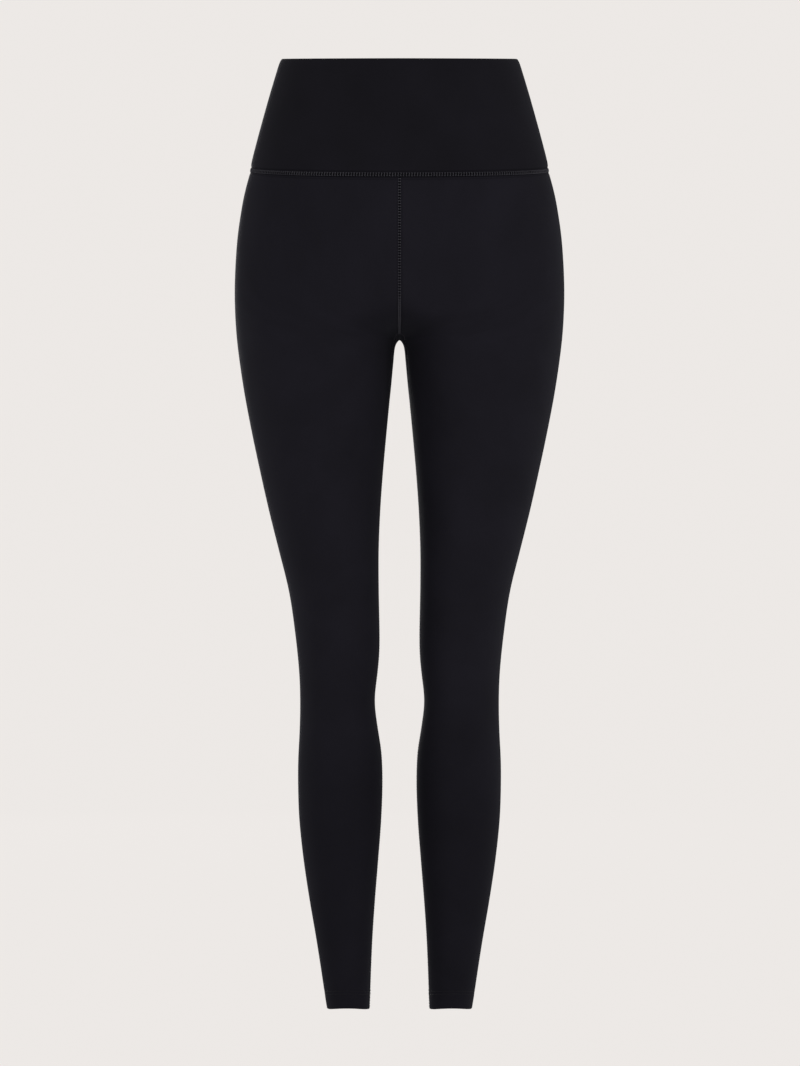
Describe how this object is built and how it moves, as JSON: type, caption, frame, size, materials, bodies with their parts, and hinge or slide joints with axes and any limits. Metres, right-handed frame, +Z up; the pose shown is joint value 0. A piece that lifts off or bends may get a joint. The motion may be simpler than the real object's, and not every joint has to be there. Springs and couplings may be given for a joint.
{
  "type": "leggings",
  "caption": "High-waisted, full-length leggings filled out as if worn, with a wide doubled waistband, a crotch gusset and open waist and hems.",
  "frame": {"origin": "middle of the waist opening, level with the waist edge at the sides, where the wearer's waist holds the garment up", "axes": "+Z up, -Y the wearer's front, +X the wearer's left; the legs hang down along -Z"},
  "size_m": [0.34, 0.2279, 0.9837],
  "materials": {
    "leg_knit": "black brushed interlock knit of polyamide and elastane, matt with a faint sheen at grazing angles",
    "waistband_knit": "the same black interlock knit, folded double",
    "seam_thread": "black textured polyester thread, a little lighter than the cloth where it catches the light"
  },
  "bodies": {
    "root": {"waistband_front": "waistband_knit", "waistband_back": "waistband_knit", "leg_left": "leg_knit", "leg_right": "leg_knit", "gusset": "leg_knit"}
  },
  "joints": []
}
